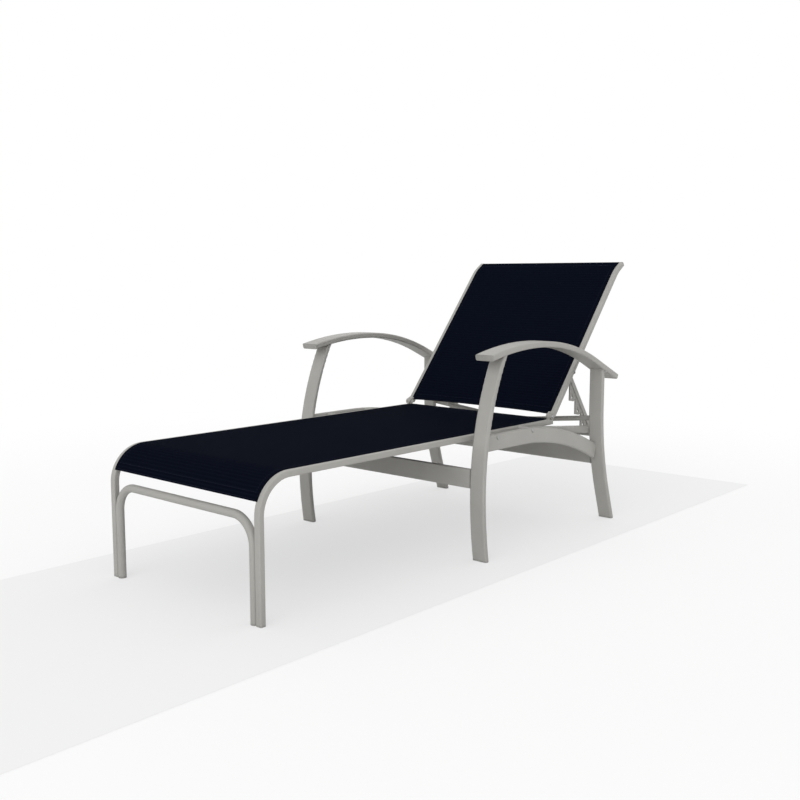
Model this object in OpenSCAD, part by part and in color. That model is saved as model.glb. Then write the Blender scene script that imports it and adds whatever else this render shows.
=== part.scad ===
// Sling chaise lounge for a patio or porch: a flat seat on bent rails, a reclining
// back hinged to the seat rails, and notched prop arms that hook over a fixed bar.
// X runs across the lounge, Y from the foot end to the head end, Z up. Millimetres.

/* [Seat rails] */
// Half of the width over the outer faces of the two seat rails
rail_reach = 309.5; // [280:0.5:330]
// Width of a rail, across the lounge
rail_wide = 20; // [18:0.5:22]
// Thickness of a rail, square to the sling
rail_thick = 16.5; // [15:0.5:18]
// Rounding of the rail's corners
rail_round = 3.5; // [2:0.5:5]
// Height of the rails' top faces above the floor
rail_top = 361.5; // [340:0.5:380]
// Length from the foot end's front face to the rear end of the rails' hinge fittings
seat_long = 1233; // [1150:1:1280]
// Outer radius of the bend at the foot end
foot_bend = 100; // [60:5:140]
// Height above the floor at which the sling ends on the foot legs
sling_drop = 298; // [285:1:330]
// Height of the plastic glides under all tubes
glide_tall = 5; // [3:0.5:8]

/* [Sling and its grooves] */
// Thickness of the woven sling
sling_thick = 1.2; // [0.8:0.1:1.6]
// Distance of the groove's middle from the rail's outer face
groove_in = 15; // [13.5:0.5:15.5]
// Depth of the groove's bore below the rail's face
groove_deep = 4.6; // [4.4:0.1:5]
// Diameter of the groove's bore
groove_bore = 6.6; // [6.2:0.1:7]
// Width of the slot that opens the bore
groove_slot = 2.2; // [1.9:0.1:2.6]
// Diameter of the rod that locks the sling's hem in the bore
spline_round = 4; // [3.2:0.1:4.2]
// Length by which the hems stop short of the hinges
hem_short = 18; // [14:1:30]

/* [Foot stretcher] */
// Diameter of the U-shaped stretcher tube
stretcher_round = 22; // [18:1:25]
// Height of the crossbar's middle above the floor
stretcher_high = 257.5; // [180:2.5:280]
// Radius of the tube's corners, at its middle
stretcher_bend = 70; // [50:5:100]

/* [Legs] */
// Gap between a seat rail's outer face and the leg's inner face
leg_gap = 25.5; // [23.5:0.5:40]
// Width of a leg, across the lounge
leg_wide = 50; // [40:1:50]
// Thickness of a leg, along the lounge
leg_thick = 15.5; // [13:0.5:18]
// Rounding of the leg's corners
leg_round = 5; // [3:0.5:6]
// Distance between the front leg's waist and the rear leg's upright part
leg_apart = 647.7; // [630:0.1:680]
// Height of the front leg's waist above the floor
front_leg_waist = 200; // [150:5:250]
// Radius of the front leg's curve above the waist
front_leg_curve = 850; // [750:10:1100]
// Radius of the front leg's curve below the waist
front_leg_foot_curve = 1200; // [1000:10:2000]
// Distance of the rear leg's upright part behind the hinge
rear_leg_behind = 187.2; // [187:0.1:188]
// Height at which the rear leg starts to curve
rear_leg_waist = 385; // [360:5:420]
// Radius of the rear leg's curve
rear_leg_curve = 870; // [700:10:1000]
// Slope of the rear leg's foot from upright
rear_leg_slope = 18.5; // [14:0.5:20]

/* [Arms] */
// Width of an arm
arm_wide = 64; // [50:1:66]
// Thickness of an arm
arm_thick = 18; // [14:0.5:20]
// Rounding of the arm's edges
arm_round = 5; // [3:0.5:6]
// Distance of the arm's front end behind the front leg's waist
arm_behind = 28.1; // [15:0.1:35]
// Height of the arm's middle at the front end
arm_high = 589.4; // [570:1:610]
// Slope of the arm at its front end
arm_rise = 12.9; // [10:0.1:15]
// Slope of the arm where the two curves meet, downwards to the rear
arm_over = 1.9; // [1:0.1:3]
// Slope of the arm's straight rear part, downwards to the rear
arm_fall = 24; // [22:0.5:26]
// Radius of the front curve, at the arm's middle
arm_front_curve = 1041; // [950:1:1100]
// Radius of the rear curve, at the arm's middle
arm_rear_curve = 791; // [760:1:820]
// Length of the straight rear part
arm_tail = 150; // [120:1:160]
// Thickness of the caps on the tube ends
cap_thick = 3; // [2:0.5:4]

/* [Frame between the legs] */
// Height of the front and rear cross rails' tubes
cross_tall = 57; // [45:1:60]
// Thickness of the cross rails
cross_thick = 13; // [10:0.5:14]
// Height of the front cross rail's middle
front_cross_high = 241.5; // [220:0.5:260]
// Height of the rear cross rail's middle
rear_cross_high = 222.5; // [215:0.5:230]
// Height of the side rails' tubes
side_tall = 48; // [40:1:50]
// Thickness of the side rails
side_thick = 15.5; // [12:0.5:16]
// Distance by which the side rails' middle stands inside the legs' middle
side_in = 8; // [2:0.5:10]
// Height of the side rails' middle at the front leg
side_high = 338.7; // [330:0.5:345]
// Length of the side rail's level part behind the front leg's waist
side_straight = 214.5; // [175:0.5:255]
// Radius of the side rail's bow, at its middle
side_curve = 1000; // [900:10:1400]
// Height of the rear brace's tube
brace_tall = 24; // [20:1:28]
// Distance of the brace's front end in front of the hinge
brace_ahead = 146; // [116:1:160]
// Height of the brace's middle at its front end
brace_high = 344.3; // [340:0.1:346]
// Slope of the brace, downwards to the rear
brace_slope = 6; // [5:0.5:8]

/* [Support bar behind the rear legs] */
// Diameter of the fixed bar that the prop arms hook over
bar_round = 17.2; // [15:0.2:17.2]
// Height of the bar's middle where the prop arms meet it
bar_high = 341.8; // [341:0.1:342.1]
// Radius of the bar's bow in the middle
bar_curve = 1200; // [1000:50:2000]
// Slope of the bar's straight ends, upwards to the outside
bar_slope = 6.3; // [5:0.1:6.5]
// Distance by which the bar's ends stand inside the legs' middle
bar_in = 6; // [0:0.5:15]

/* [Back] */
// Angle of the back above level at rest
back_angle = 50.4; // [50.2:0.1:50.6]
// Distance of the hinge in front of the seat rail fittings' rear end
hinge_in = 4; // [3:0.1:5]
// Height of the hinge above the floor
hinge_high = 371; // [371:0.1:372]
// Distance of the rails' middle behind the hinge, square to the back
hinge_set = 8.6; // [8.5:0.1:9]
// Radius of the hinge eyes
hinge_eye = 9; // [8:0.1:9]
// Diameter of the hinge pins
pin_round = 7; // [6:0.5:8]
// Length of the back rails' straight part, from the hinge
back_long = 591; // [560:1:600]
// Radius of the bend at the head end
back_bend = 130; // [110:5:160]
// Turn of the bend at the head end
back_turn = 17.4; // [10:0.1:24]
// Length of the straight end behind the bend
back_tail = 27; // [20:1:35]
// Diameter of the round spreader bars between the rails
spreader_round = 16; // [12:0.5:16]

/* [Prop arms] */
// Distance of the prop arms' pivots from the hinge, along the back
prop_at = 183.1; // [182:0.1:184]
// Length of a prop arm from its pivot to its lower end's middle
prop_long = 284; // [270:1:300]
// Distance of the prop arms' pivots behind the hinge, square to the back
prop_set = 11.6; // [11.5:0.1:11.8]
// Depth of a prop arm's bar, across its length in the plane in which it swings
prop_thick = 15; // [14:0.5:15]
// Slope of a prop arm at rest, downwards to the rear
prop_slope = 54; // [53.8:0.1:54.2]
// Thickness of a prop arm, across the lounge
prop_wide = 12.6; // [10:0.2:12.8]
// Distance between neighbouring notches, along the arm
notch_pitch = 61; // [60:0.5:61]
// Thickness of the notched plate
notch_plate = 5; // [4:0.5:6]
// Length of the level foot of each tooth
notch_foot = 23; // [21:0.5:23]
// Height of the slanted lead into each notch
notch_lead = 8.3; // [7.5:0.1:8.3]
// Clearance of a tooth's foot over the bar at rest, by which the arms swing free of it
prop_lift = 3; // [2.9:0.1:3.2]
// Rise of a tooth's foot towards its free side
notch_rise = 4.4; // [4.2:0.1:4.6]
// Diameter of the prop arms' pivot bolts
prop_bolt = 6; // [5:0.5:6]
// Diameter of the tie bar between the prop arms
tie_round = 12; // [10:0.5:14]

/* [Spacers and bolts] */
// Diameter of the spacers between the seat rails and the side rails
spacer_round = 16; // [12:0.5:16]
// Diameter of the bolts through the spacers
bolt_round = 8; // [6:0.5:8]

/* [Hidden] */
$fn = 96;
// Clearance of the slings and the props from what they lie on or pass
soft_gap = 0.3;
// Radial clearance of pins and bolts in their bores
pin_fit = 0.05;
// Gap between a turning face and the face beside it
side_gap = 0.3;
// Length by which cuts run past the faces they open
overrun = 1;
// Length by which the seat rail's end stands before the end of its fitting
end_plate = 2.5;
// Lap of a tube's steps and the ease of each step inside the one before
step_lap = 1;
lap_ease = 0.02;
$ease = 0;
$step = 0;
// Shares of the leg's and rail's sizes that place the spacers and the spreader bars
spacer_front_share = 1.9;
spacer_rear_share = 0.8;
spreader_front_share = 4.2;
spreader_rear_share = 2.4;
// Shares of the rail's section that the hinge fittings' eyes and plugs take
eye_share = 0.36;
plug_wide_share = 0.33;
plug_tall_share = 0.55;
fork_share = 0.3;
// Shares of a pin's or bolt's diameter for its head, and of the head's height for its rim
pin_head_share = 0.45;
head_wide_share = 1.7;
bolt_head_share = 0.4;
bolt_head_wide_share = 1.8;
rim_share = 0.2;
// Shares of a tooth's foot and height for its upright finger and its window
finger_share = 0.44;
window_share = 0.4;
window_lean_share = 0.15;

// Places along the lounge that follow one another from the foot end
hinge_at = seat_long - hinge_in;
rear_leg_at = hinge_at + rear_leg_behind;
front_leg_at = rear_leg_at - leg_apart;
arm_at = front_leg_at + arm_behind;
side_level = front_leg_at + side_straight;
brace_at = hinge_at - brace_ahead;

// Places across the lounge that follow one another from the seat rails
leg_reach = rail_reach + leg_gap + leg_wide / 2;
side_reach = leg_reach - side_in;
bar_reach = leg_reach - bar_in;

// Middle planes and heights that follow from the sizes above
rail_mid = rail_reach - rail_wide / 2;
rail_inner = rail_reach - rail_wide;
rail_high = rail_top - rail_thick / 2;
rail_bend = foot_bend - rail_thick / 2;
groove_at = groove_in - rail_wide / 2;
groove_x = rail_reach - groove_in;
bore_high = rail_thick / 2 - groove_deep;
sling_low = rail_thick / 2 + soft_gap;
sling_high = sling_low + sling_thick;
hem_end = seat_long - hem_short;
rail_end = seat_long - end_plate;
narrow_half = groove_x - groove_bore - sling_thick;
leg_inner = leg_reach - leg_wide / 2;
side_inner = side_reach - side_thick / 2;
side_outer = side_reach + side_thick / 2;
stretcher_reach = rail_inner - stretcher_round / 2;

// Place of the support bar, which lies against the rear faces of the curved rear legs
prop_mid = rail_inner - side_gap - prop_wide / 2;
bar_end_high = bar_high + (leg_inner - prop_mid) * tan(bar_slope);
bar_lean = rear_leg_curve - leg_thick / 2 - bar_round / 2 - pin_fit;
bar_at = rear_leg_at + rear_leg_curve - sqrt(pow(bar_lean, 2) - pow(rear_leg_waist - bar_end_high, 2));

// The back's end and the middle of the whole length, which becomes Y zero
end_angle = back_angle - back_turn;
back_end = hinge_at + hinge_set * sin(back_angle) + back_long * cos(back_angle)
    + back_bend * (sin(back_angle) - sin(end_angle)) + back_tail * cos(end_angle)
    + rail_thick / 2 * sin(end_angle);
foot_front = rail_thick / 2 - stretcher_round / 2;
middle = (foot_front + back_end) / 2;

// The prop pivot and the place of the bar in the arm's own directions at rest
pivot_at = hinge_at + prop_at * cos(back_angle) + prop_set * sin(back_angle);
pivot_high = hinge_high + prop_at * sin(back_angle) - prop_set * cos(back_angle);
prop_outer = rail_inner - side_gap;
prop_inner = prop_outer - prop_wide;
// Corner of the notch that holds the bar at rest
corner_at = bar_at + bar_round / 2 + side_gap;
corner_high = bar_high + bar_round / 2 + notch_lead + prop_lift;
lead_run = notch_pitch * cos(prop_slope) - notch_foot;
// Width of a tooth's upright finger
finger_wide = notch_foot * finger_share;

// Places along the rails at which the spacers and the spreader bars are joined
spacer_front = front_leg_at + spacer_front_share * leg_wide;
spacer_rear = brace_at - spacer_rear_share * leg_wide;
spreader_front = spreader_front_share * foot_bend;
spreader_rear = seat_long - spreader_rear_share * leg_thick;
back_spreader_low = prop_at / 2;

module frame_coat() color([0.62, 0.62, 0.6]) children();

module dark_plastic() color([0.5, 0.5, 0.49]) children();

module steel() color([0.72, 0.72, 0.72]) children();

module woven() color([0.05, 0.06, 0.11]) children();

// The left piece is the right piece seen in a mirror across the lounge's middle
module left() mirror([1, 0, 0]) children();

module both() {
    children();
    mirror([1, 0, 0]) children();
}

// Moves a point given from the foot end and the floor to its place in the lounge
module place(x, y, z) translate([x, y - middle, z]) children();

// Turns a path drawn along X so that it runs along Y, rising by the given slope
module heading(slope) rotate([0, 0, 90]) rotate([0, -slope, 0]) children();

// A tube along straight steps [length, 0, 0] and bends [0, radius, turn], a positive turn
// away from the section's top side. Each step starts a lap inside the one before it, with
// its section smaller by the ease, so that the steps join without a gap
module tube(steps, count = 0) {
    if (count < len(steps)) {
        $step = count;
        $ease = lap_ease * count;
        long = steps[count][0];
        radius = steps[count][1];
        turn = steps[count][2];
        lap = count == 0 ? 0 : step_lap;
        lap_turn = turn == 0 ? 0 : lap / radius * 180 / PI;
        // The wide bends are drawn in more steps than the tight ones
        $fn = radius > 4 * foot_bend ? 240 : 96;
        if (turn == 0) {
            translate([-lap, 0, 0]) rotate([90, 0, 90]) linear_extrude(long + lap) children();
            translate([long, 0, 0]) tube(steps, count + 1) children();
        } else if (turn > 0) {
            translate([0, 0, -radius]) rotate([0, -lap_turn, 0]) rotate([-90, -90, 0])
                rotate_extrude(angle = turn + lap_turn) translate([radius, 0])
                mirror([1, -1]) children();
            translate([radius * sin(turn), 0, -radius * (1 - cos(turn))])
                rotate([0, turn, 0]) tube(steps, count + 1) children();
        } else {
            translate([0, 0, radius]) rotate([0, lap_turn, 0]) rotate([90, 90, 0])
                rotate_extrude(angle = lap_turn - turn) translate([radius, 0])
                mirror([1, 1]) children();
            translate([-radius * sin(turn), 0, radius * (1 - cos(turn))])
                rotate([0, turn, 0]) tube(steps, count + 1) children();
        }
    }
}

// A rectangle with rounded corners, drawn from plain squares and circles
module rounded(wide, tall, corner) {
    square([wide - 2 * $ease, tall - 2 * corner], center = true);
    square([wide - 2 * corner, tall - 2 * $ease], center = true);
    for (across = [-1, 1], up = [-1, 1]) {
        translate([across * (wide / 2 - corner), up * (tall / 2 - corner)]) circle(corner - $ease);
    }
}

module round_bar(wide) circle(d = wide - 2 * $ease);

module rail_shape() rounded(rail_wide, rail_thick, rail_round);

// The rail's section with the keyhole groove that holds the sling's hem
module grooved_shape() difference() {
    rail_shape();
    translate([groove_at, bore_high]) circle(d = groove_bore + 2 * $ease);
    translate([groove_at - groove_slot / 2 - $ease, bore_high])
        square([groove_slot + 2 * $ease, groove_deep + overrun]);
}

// The sling's section: a flat sheet whose hems drop through the slots around the rods
module sling_shape() {
    translate([-groove_x - sling_thick / 2 + $ease, sling_low + $ease])
        square([2 * groove_x + sling_thick - 2 * $ease, sling_thick - 2 * $ease]);
    for (across = [-1, 1]) {
        translate([across * groove_x, bore_high]) difference() {
            union() {
                round_bar(groove_bore - 2 * soft_gap);
                translate([-sling_thick / 2 + $ease, 0])
                    square([sling_thick - 2 * $ease, sling_high - bore_high - $ease]);
            }
            circle(d = spline_round + soft_gap + 2 * $ease);
        }
    }
}

module narrow_sling_shape() {
    translate([-narrow_half, sling_low + $ease]) square([2 * narrow_half, sling_thick - 2 * $ease]);
}

module spline_shape() {
    for (across = [-1, 1]) {
        translate([across * groove_x, bore_high]) round_bar(spline_round);
    }
}

// The hem lies on the foot bend, so that the groove is drawn only above the hem
hem_turn = asin((sling_drop - (rail_top - foot_bend)) / foot_bend);

module seat_from_hem() {
    place(0, foot_bend - rail_bend * cos(hem_turn), rail_high - rail_bend + rail_bend * sin(hem_turn))
        heading(90 - hem_turn) children();
}

// The seat rails with their foot legs
module seat_rail() difference() {
    place(rail_mid, rail_thick / 2, glide_tall) heading(90)
        tube([
            [rail_top - foot_bend - glide_tall, 0, 0], [0, rail_bend, hem_turn],
            [0, rail_bend, 90 - hem_turn], [rail_end - foot_bend, 0, 0]
        ]) if ($step < 2) rail_shape(); else grooved_shape();
    lug_plug(2 * pin_fit);
    spacer_bores(rail_mid, rail_reach + overrun, pin_fit);
}

module seat_rail_right() frame_coat() seat_rail();

module seat_rail_left() frame_coat() left() seat_rail();

// Bores or shanks of the two bolts between a seat rail and its side rail
module spacer_bores(from, to, gap) {
    for (at = [spacer_front, spacer_rear]) {
        place(from, at, rail_high) rotate([0, 90, 0]) cylinder(h = to - from, d = bolt_round + 2 * gap);
    }
}

module foot_stretcher() frame_coat() {
    straight = stretcher_high - stretcher_bend - glide_tall;
    place(-stretcher_reach, rail_thick / 2, glide_tall) rotate([0, -90, 0])
        tube([
            [straight, 0, 0], [0, stretcher_bend, 90],
            [2 * (stretcher_reach - stretcher_bend), 0, 0],
            [0, stretcher_bend, 90], [straight, 0, 0]
        ]) round_bar(stretcher_round);
}

module cross_bar(y, z) {
    place(-rail_inner, y, z) rotate([0, 90, 0]) cylinder(h = 2 * rail_inner, d = spreader_round);
}

module seat_spreader_front() frame_coat()
    cross_bar(spreader_front, rail_top - rail_thick + spreader_round / 2);

module seat_spreader_rear() frame_coat()
    cross_bar(spreader_rear, rail_top - rail_thick + spreader_round / 2);

// Rear end fitting of a seat rail: an end plate, a plug in the rail and an upright eye
eye_wide = rail_wide * eye_share;

plug_wide = rail_wide * plug_wide_share;
plug_tall = rail_thick * plug_tall_share;

module lug_plug(gap) {
    place(rail_reach - rail_round - plug_wide - gap, rail_end - rail_wide, rail_high - plug_tall / 2 - gap)
        cube([plug_wide + 2 * gap, rail_wide + overrun, plug_tall + 2 * gap]);
}

module hinge_lug() difference() {
    union() {
        place(rail_mid, rail_end, rail_high) heading(0)
            tube([[end_plate, 0, 0]]) rail_shape();
        lug_plug(0);
        place(rail_mid - eye_wide / 2, hinge_at, hinge_high) rotate([0, 90, 0])
            cylinder(h = eye_wide, r = hinge_eye);
        place(rail_mid - eye_wide / 2, hinge_at - hinge_eye, rail_top)
            cube([eye_wide, seat_long - hinge_at + hinge_eye, hinge_high - rail_top]);
    }
    place(rail_inner, hinge_at, hinge_high) rotate([0, 90, 0])
        cylinder(h = rail_wide, r = pin_round / 2 + pin_fit);
}

module hinge_lug_right() frame_coat() hinge_lug();

module hinge_lug_left() frame_coat() left() hinge_lug();

// Hinge pins with a domed head outside and a flat collar inside
pin_head = pin_round * pin_head_share;
pin_head_wide = pin_round * head_wide_share;

module hinge_pin() {
    place(rail_inner - side_gap, hinge_at, hinge_high) rotate([0, 90, 0])
        cylinder(h = rail_wide + 2 * side_gap, d = pin_round);
    place(rail_reach + side_gap, hinge_at, hinge_high) rotate([0, 90, 0])
        domed_head(pin_head_wide, pin_head);
    place(rail_inner - side_gap - pin_head / 2, hinge_at, hinge_high) rotate([0, 90, 0])
        cylinder(h = pin_head / 2, d = pin_head_wide);
}

module hinge_pins() steel() both() hinge_pin();

// A low domed bolt head, turned as a disc with a rounded rim
module domed_head(wide, tall) rotate_extrude() {
    dome = tall * (1 - rim_share);
    square([wide / 2 - dome, tall]);
    square([wide / 2, tall - dome]);
    translate([wide / 2 - dome, tall - dome]) intersection() {
        circle(dome);
        square(tall);
    }
}

module seat_sling() woven() seat_from_hem()
    tube([
        [0, rail_bend, 90 - hem_turn], [hem_end - foot_bend, 0, 0], [rail_end - hem_end, 0, 0]
    ]) if ($step < 2) sling_shape(); else narrow_sling_shape();

module seat_splines() dark_plastic() seat_from_hem()
    tube([[0, rail_bend, 90 - hem_turn], [hem_end - foot_bend, 0, 0]]) spline_shape();

// The arm's line, also used to cut the legs' tops to the arm's underside
arm_steps = [
    [0, arm_front_curve, arm_rise + arm_over],
    [0, arm_rear_curve, arm_fall - arm_over],
    [arm_tail - cap_thick, 0, 0]
];

module along_arm(side) {
    place(side, arm_at, arm_high) heading(arm_rise) children();
}

module arm_shape() rounded(arm_wide, arm_thick, arm_round);

module arm() along_arm(leg_reach) tube(arm_steps) arm_shape();

module arm_right() frame_coat() arm();

module arm_left() frame_coat() left() arm();

// Moulded caps closing both ends of each arm
module arm_cap_pair() {
    along_arm(leg_reach) translate([-cap_thick, 0, 0]) tube([[cap_thick, 0, 0]]) arm_shape();
    tail_at = arm_at + arm_front_curve * (sin(arm_rise) + sin(arm_over))
        + arm_rear_curve * (sin(arm_fall) - sin(arm_over)) + (arm_tail - cap_thick) * cos(arm_fall);
    tail_high = arm_high + arm_front_curve * (cos(arm_over) - cos(arm_rise))
        - arm_rear_curve * (cos(arm_over) - cos(arm_fall)) - (arm_tail - cap_thick) * sin(arm_fall);
    place(leg_reach, tail_at, tail_high) heading(-arm_fall) tube([[cap_thick, 0, 0]]) arm_shape();
}

module arm_caps() dark_plastic() both() arm_cap_pair();

module above_arm() along_arm(leg_reach) tube(arm_steps)
    translate([-arm_wide / 2, -arm_thick / 2]) square([arm_wide, 3 * arm_thick]);

module leg_shape() rounded(leg_wide, leg_thick, leg_round);

// Front leg: two opposed curves that meet at the waist
module front_leg() difference() {
    union() {
        place(leg_reach, front_leg_at, front_leg_waist) heading(90)
            tube([[0, front_leg_curve, asin((arm_high + arm_thick / 2 - front_leg_waist) / front_leg_curve)]])
            leg_shape();
        place(leg_reach, front_leg_at, front_leg_waist) mirror([0, 0, 1]) heading(90)
            tube([[0, front_leg_foot_curve, asin(front_leg_waist / front_leg_foot_curve)]]) leg_shape();
    }
    above_arm();
    below_legs(front_leg_at);
}

// Space under the legs, down from the glides' tops
module below_legs(y) {
    place(leg_inner - overrun, y - leg_wide, -leg_thick)
        cube([leg_wide + 2 * overrun, 3 * leg_wide, leg_thick + glide_tall]);
}

module front_leg_right() frame_coat() front_leg();

module front_leg_left() frame_coat() left() front_leg();

// Rear leg: upright at the top, swept back to the rear at the foot
rear_leg_drop = rear_leg_waist - rear_leg_curve * sin(rear_leg_slope);
rear_arm_low = arm_high + arm_front_curve * (cos(arm_over) - cos(arm_rise))
    - arm_rear_curve * (cos(arm_over) - cos(arm_fall));

module rear_leg() difference() {
    union() {
        place(leg_reach, rear_leg_at, rear_leg_waist) heading(90)
            tube([[rear_arm_low - rear_leg_waist - arm_thick, 0, 0]]) leg_shape();
        place(leg_reach, rear_leg_at, rear_leg_waist) mirror([0, 0, 1]) heading(90)
            tube([[0, rear_leg_curve, rear_leg_slope], [rear_leg_drop / cos(rear_leg_slope), 0, 0]])
            leg_shape();
    }
    above_arm();
    below_legs(rear_leg_at + leg_wide);
}

module rear_leg_right() frame_coat() rear_leg();

module rear_leg_left() frame_coat() left() rear_leg();

// Cross rails between the inner faces of the legs
module cross_rail(y, z) {
    place(-leg_inner, y, z) rotate([90, 0, 90])
        linear_extrude(2 * leg_inner) rounded(cross_thick, cross_tall, cross_thick / 3);
}

front_cross_at = front_leg_at + leg_at_height(front_cross_high, front_leg_waist, front_leg_curve);
rear_cross_at = rear_leg_at + leg_at_height(rear_cross_high, rear_leg_waist, rear_leg_curve);

module front_cross_rail() frame_coat() cross_rail(front_cross_at, front_cross_high);

module rear_cross_rail() frame_coat() cross_rail(rear_cross_at, rear_cross_high);

// How far a curved leg has moved from its waist at a height
function leg_at_height(high, waist, curve) = curve - sqrt(curve * curve - (high - waist) * (high - waist));

// Bowed side rail from the front leg to the rear leg, cut to both legs' faces
side_start = front_leg_at + leg_at_height(side_high, front_leg_waist, front_leg_curve);

// Bottom and top corner of the rail's front end, on the front leg's rear face
function leg_face(high) = [
    front_leg_curve - sqrt(pow(front_leg_curve - leg_thick / 2, 2) - pow(high - front_leg_waist, 2)), high
];

module side_rail() difference() {
    place(side_reach, side_start, side_high) heading(0)
        tube([
            [side_level - side_start, 0, 0],
            [0, side_curve, asin((rear_leg_at - side_level) / side_curve)]
        ]) rounded(side_thick, side_tall, side_thick / 3);
    low = leg_face(side_high - side_tall / 2);
    top = leg_face(side_high + side_tall / 2);
    place(leg_inner, front_leg_at, 0) rotate([90, 0, 90]) linear_extrude(leg_wide)
        polygon([2 * low - top, 2 * top - low, 2 * top - low - [leg_wide, 0], 2 * low - top - [leg_wide, 0]]);
    place(leg_reach, rear_leg_at, rear_leg_waist) mirror([0, 0, 1]) heading(90)
        tube([[0, rear_leg_curve, rear_leg_slope]])
        translate([-leg_wide, -2 * leg_wide]) square([2 * leg_wide, 2 * leg_wide + leg_thick / 2]);
    spacer_bores(side_inner - overrun, side_outer + overrun, pin_fit);
}

module side_rail_right() frame_coat() side_rail();

module side_rail_left() frame_coat() left() side_rail();

// Square tube from the outer side of the seat rail back to the rear leg's inner face
module rear_brace() {
    wide = leg_inner - rail_reach;
    place(rail_reach + wide / 2, brace_at, brace_high) heading(-brace_slope)
        tube([[(rear_leg_at + leg_thick / 2 - brace_at) / cos(brace_slope), 0, 0]])
        rounded(wide, brace_tall, rail_round);
}

module rear_brace_right() frame_coat() rear_brace();

module rear_brace_left() frame_coat() left() rear_brace();

module rail_spacers() frame_coat() both() difference() {
    for (at = [spacer_front, spacer_rear]) {
        place(rail_reach, at, rail_high) rotate([0, 90, 0])
            cylinder(h = side_inner - rail_reach, d = spacer_round);
    }
    spacer_bores(rail_mid, side_inner + overrun, pin_fit);
}

module spacer_bolts() steel() both() {
    spacer_bores(rail_mid + side_gap, side_outer, 0);
    for (at = [spacer_front, spacer_rear]) {
        place(side_outer, at, rail_high) rotate([0, 90, 0])
            domed_head(bolt_round * bolt_head_wide_share, bolt_round * bolt_head_share);
    }
}

// Bowed round bar across the backs of the rear legs, over which the prop arms hook
bar_low = bar_high - (prop_mid - bar_curve * sin(bar_slope)) * tan(bar_slope)
    - bar_curve * (1 - cos(bar_slope));

module support_bar() frame_coat() both() place(0, bar_at, bar_low)
    tube([
        [0, bar_curve, -bar_slope],
        [(bar_reach - bar_curve * sin(bar_slope)) / cos(bar_slope), 0, 0]
    ]) round_bar(bar_round);

// Plastic glides under the tubes
module glide(x, y, z) {
    place(x, y, 0) linear_extrude(glide_tall) children();
}

module rail_glides() dark_plastic() both()
    glide(rail_mid, rail_thick / 2) rail_shape();

module stretcher_glides() dark_plastic() both()
    glide(stretcher_reach, rail_thick / 2) circle(d = stretcher_round);

module leg_glides() dark_plastic() both() {
    glide(leg_reach, front_leg_at + leg_at_height(glide_tall, front_leg_waist, front_leg_foot_curve))
        leg_shape();
    glide(leg_reach, rear_leg_at + leg_at_height(rear_leg_drop, rear_leg_waist, rear_leg_curve)
        + (rear_leg_drop - glide_tall) * tan(rear_leg_slope)) leg_shape();
}

// The back's own directions: X along the back, Z out of its front, from the hinge
module on_back(x, along) {
    place(x, hinge_at, hinge_high) heading(back_angle) translate([along, 0, -hinge_set]) children();
}

fork_long = rail_wide;
fork_start = rail_wide * fork_share;

back_steps = [
    [back_long - fork_long, 0, 0], [0, back_bend, back_turn], [back_tail - cap_thick, 0, 0]
];

module back_rail() difference() {
    on_back(rail_mid, fork_long) tube(back_steps) grooved_shape();
    fork_plug(2 * pin_fit);
    prop_bore(rail_inner - overrun, rail_reach + overrun, pin_fit);
}

module back_rail_right() frame_coat() back_rail();

module back_rail_left() frame_coat() left() back_rail();

module prop_bore(from, to, gap) {
    place(from, pivot_at, pivot_high) rotate([0, 90, 0]) cylinder(h = to - from, d = prop_bolt + 2 * gap);
}

module fork_plug(gap) {
    on_back(rail_reach - rail_round - plug_wide / 2, fork_long - overrun)
        tube([[overrun + rail_wide + gap, 0, 0]])
        square([plug_wide + 2 * gap, plug_tall + 2 * gap], center = true);
}

// Lower end fitting of a back rail: two ears that straddle the seat rail's eye
module back_fork() difference() {
    union() {
        on_back(rail_mid, fork_start) tube([[fork_long - fork_start, 0, 0]]) rail_shape();
        fork_plug(0);
        place(rail_inner, hinge_at, hinge_high) rotate([0, 90, 0])
            cylinder(h = rail_wide, r = hinge_eye);
        place(rail_mid, hinge_at, hinge_high) heading(back_angle) rotate([90, 0, 0])
            linear_extrude(rail_wide, center = true) polygon([
                [0, hinge_eye], [fork_long, rail_thick / 2 - hinge_set],
                [fork_long, rail_thick / 2 - hinge_set - rail_round], [0, 0]
            ]);
    }
    place(rail_mid - eye_wide / 2 - side_gap, hinge_at, hinge_high) rotate([0, 90, 0])
        cylinder(h = eye_wide + 2 * side_gap, r = hinge_eye + 2 * side_gap);
    place(rail_inner - overrun, hinge_at, hinge_high) rotate([0, 90, 0])
        cylinder(h = rail_wide + 2 * overrun, r = pin_round / 2 + pin_fit);
}

module back_fork_right() frame_coat() back_fork();

module back_fork_left() frame_coat() left() back_fork();

back_spreader_high = back_long - fork_long;

module back_spreader(along) on_back(0, along) rotate([90, 0, 0])
    cylinder(h = 2 * rail_inner, d = spreader_round, center = true);

module back_spreader_lower() frame_coat() back_spreader(back_spreader_low);

module back_spreader_upper() frame_coat() back_spreader(back_spreader_high);

module back_sling() woven() on_back(0, 2 * fork_start + sling_thick)
    tube([
        [fork_long - 2 * fork_start, 0, 0], [back_long - fork_long - sling_thick, 0, 0],
        [0, back_bend, back_turn], [back_tail - cap_thick, 0, 0]
    ]) if ($step < 1) narrow_sling_shape(); else sling_shape();

module back_splines() dark_plastic() on_back(0, fork_long + sling_thick)
    tube([
        [back_long - fork_long - sling_thick, 0, 0], [0, back_bend, back_turn],
        [back_tail - cap_thick, 0, 0]
    ]) spline_shape();

module back_caps() dark_plastic() both() on_back(rail_mid, back_long)
    translate([back_bend * sin(back_turn), 0, -back_bend * (1 - cos(back_turn))]) rotate([0, back_turn, 0])
    translate([back_tail - cap_thick, 0, 0]) tube([[cap_thick, 0, 0]]) rail_shape();

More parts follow.
